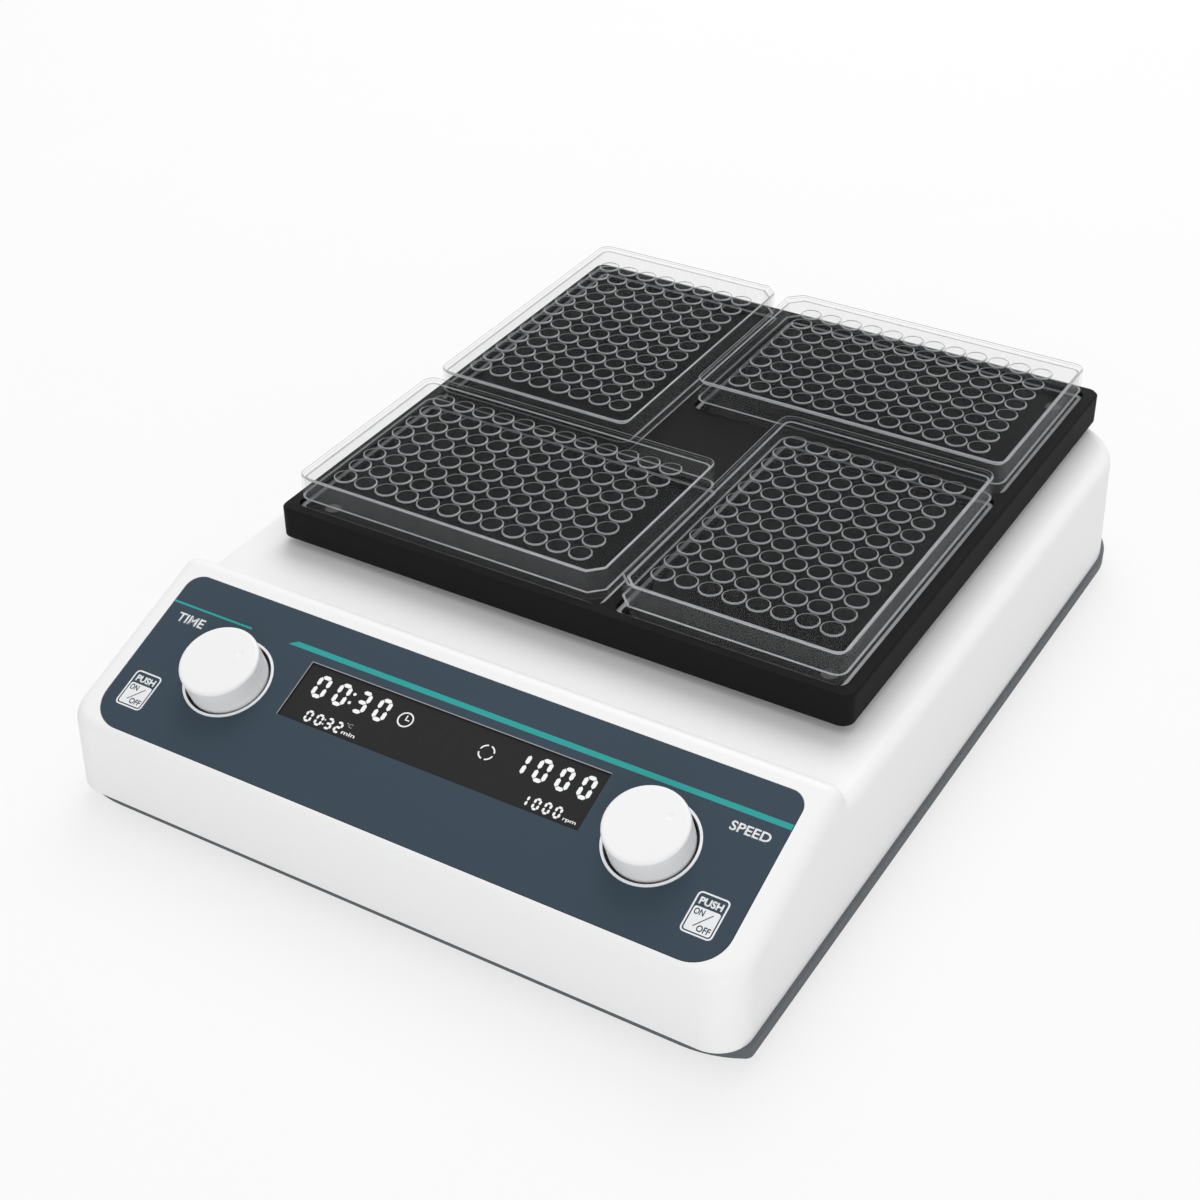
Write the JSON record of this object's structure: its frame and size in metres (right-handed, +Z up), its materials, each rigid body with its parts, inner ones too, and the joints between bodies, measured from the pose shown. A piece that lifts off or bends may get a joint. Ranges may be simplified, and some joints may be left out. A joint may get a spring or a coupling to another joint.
{
  "type": "microplate shaker",
  "caption": "Low orbital shaker with a sloped control console, two push knobs, a display and a square tray that carries lidded multi-well plates round a small circle.",
  "frame": {"origin": "centre of the footprint, on the surface that the feet stand on", "axes": "+X to the user's right, +Y to the back of the machine, +Z up"},
  "size_m": [0.262, 0.3376, 0.0812],
  "materials": {
    "white_plastic": "smooth moulded",
    "base_grey": "fine grain",
    "slate_panel": "satin printed film",
    "window": "dark tinted window",
    "ring_light": "smooth",
    "tray_black": "satin",
    "clear_plastic": "clear moulded",
    "rubber_foot": "matte",
    "steel": "machined",
    "aluminium": "machined",
    "black_steel": "blackened",
    "brass": "turned",
    "black_plastic": "moulded",
    "board_green": "coated board",
    "motor_case": "satin paint"
  },
  "bodies": {
    "root": {"base_plate": "base_grey", "feet": "rubber_foot", "base_screws": "steel", "housing": "white_plastic", "panel_overlay": "slate_panel", "display_window": "window", "display_module": "black_plastic", "control_board": "board_green", "board_screws": "steel", "encoder_nuts": "brass", "knob_cups": "black_plastic", "knob_rings": "ring_light", "inlet": "black_plastic", "inlet_pins": "brass", "switch_body": "black_plastic", "power_supply": "aluminium", "standoffs": "steel", "drive_plate": "aluminium", "plate_screws": "steel", "motor": "motor_case", "motor_screws": "steel", "frame_bearings": "steel", "time_encoder": "black_plastic", "speed_encoder": "black_plastic"},
    "drive_crank": {"motor_shaft": "steel", "drive_crank": "steel", "counterweight": "brass"},
    "platform": {"tray_carrier": "aluminium", "carrier_bearings": "steel", "tray": "tray_black", "tray_screws": "black_steel"},
    "rocker": {"rocker": "black_plastic"},
    "idler_1": {"idler_crank_1": "steel"},
    "microplate_1": {"microplate_1": "clear_plastic"},
    "lid_1": {"lid_1": "clear_plastic"},
    "idler_2": {"idler_crank_2": "steel"},
    "microplate_2": {"microplate_2": "clear_plastic"},
    "lid_2": {"lid_2": "clear_plastic"},
    "idler_3": {"idler_crank_3": "steel"},
    "microplate_3": {"microplate_3": "clear_plastic"},
    "lid_3": {"lid_3": "clear_plastic"},
    "idler_4": {"idler_crank_4": "steel"},
    "microplate_4": {"microplate_4": "clear_plastic"},
    "lid_4": {"lid_4": "clear_plastic"},
    "time_push": {"time_plunger": "black_plastic"},
    "time_knob": {"time_shaft": "steel", "time_knob": "white_plastic"},
    "speed_push": {"speed_plunger": "black_plastic"},
    "speed_knob": {"speed_shaft": "steel", "speed_knob": "white_plastic"}
  },
  "joints": [
    {"name": "drive_spin", "type": "hinge", "parent": "root", "child": "drive_crank", "pos_m": [0, 0.04875, 0.0379], "axis": [0, 0, 1], "continuous": true},
    {"name": "platform_orbit", "type": "hinge", "parent": "drive_crank", "child": "platform", "pos_m": [0, 0.05025, 0.0605], "axis": [0, 0, 1], "continuous": true},
    {"name": "idler_1_spin", "type": "hinge", "parent": "root", "child": "idler_1", "pos_m": [-0.075, -0.02625, 0.0379], "axis": [0, 0, 1], "continuous": true},
    {"name": "idler_2_spin", "type": "hinge", "parent": "root", "child": "idler_2", "pos_m": [-0.075, 0.12375, 0.0379], "axis": [0, 0, 1], "continuous": true},
    {"name": "idler_3_spin", "type": "hinge", "parent": "root", "child": "idler_3", "pos_m": [0.075, -0.02625, 0.0379], "axis": [0, 0, 1], "continuous": true},
    {"name": "idler_4_spin", "type": "hinge", "parent": "root", "child": "idler_4", "pos_m": [0.075, 0.12375, 0.0379], "axis": [0, 0, 1], "continuous": true},
    {"name": "time_press", "type": "slide", "parent": "root", "child": "time_push", "axis": [0, 0.3443, -0.9389], "range_m": [0, 0.0006], "stiffness_N_per_m": 900, "springref_m": -0.0015},
    {"name": "time_turn", "type": "hinge", "parent": "time_push", "child": "time_knob", "pos_m": [-0.082, -0.13505, 0.05026], "axis": [0, -0.3443, 0.9389], "continuous": true},
    {"name": "speed_press", "type": "slide", "parent": "root", "child": "speed_push", "axis": [0, 0.3443, -0.9389], "range_m": [0, 0.0006], "stiffness_N_per_m": 900, "springref_m": -0.0015},
    {"name": "speed_turn", "type": "hinge", "parent": "speed_push", "child": "speed_knob", "pos_m": [0.082, -0.13505, 0.05026], "axis": [0, -0.3443, 0.9389], "continuous": true},
    {"name": "power_rock", "type": "hinge", "parent": "root", "child": "rocker", "pos_m": [-0.048, 0.16195, 0.029], "axis": [1, 0, 0], "range_deg": [0, 18]},
    {"name": "microplate_1_lift", "type": "slide", "parent": "platform", "child": "microplate_1", "axis": [0, 0, 1], "range_m": [0, 0.04]},
    {"name": "lid_1_lift", "type": "slide", "parent": "microplate_1", "child": "lid_1", "axis": [0, 0, 1], "range_m": [0, 0.03]},
    {"name": "microplate_2_lift", "type": "slide", "parent": "platform", "child": "microplate_2", "axis": [0, 0, 1], "range_m": [0, 0.04]},
    {"name": "lid_2_lift", "type": "slide", "parent": "microplate_2", "child": "lid_2", "axis": [0, 0, 1], "range_m": [0, 0.03]},
    {"name": "microplate_3_lift", "type": "slide", "parent": "platform", "child": "microplate_3", "axis": [0, 0, 1], "range_m": [0, 0.04]},
    {"name": "lid_3_lift", "type": "slide", "parent": "microplate_3", "child": "lid_3", "axis": [0, 0, 1], "range_m": [0, 0.03]},
    {"name": "microplate_4_lift", "type": "slide", "parent": "platform", "child": "microplate_4", "axis": [0, 0, 1], "range_m": [0, 0.04]},
    {"name": "lid_4_lift", "type": "slide", "parent": "microplate_4", "child": "lid_4", "axis": [0, 0, 1], "range_m": [0, 0.03]}
  ],
  "couplings": [
    {"joint": "platform_orbit", "follows": "drive_spin", "ratio": -1},
    {"joint": "idler_1_spin", "follows": "drive_spin", "ratio": 1},
    {"joint": "idler_2_spin", "follows": "drive_spin", "ratio": 1},
    {"joint": "idler_3_spin", "follows": "drive_spin", "ratio": 1},
    {"joint": "idler_4_spin", "follows": "drive_spin", "ratio": 1}
  ]
}
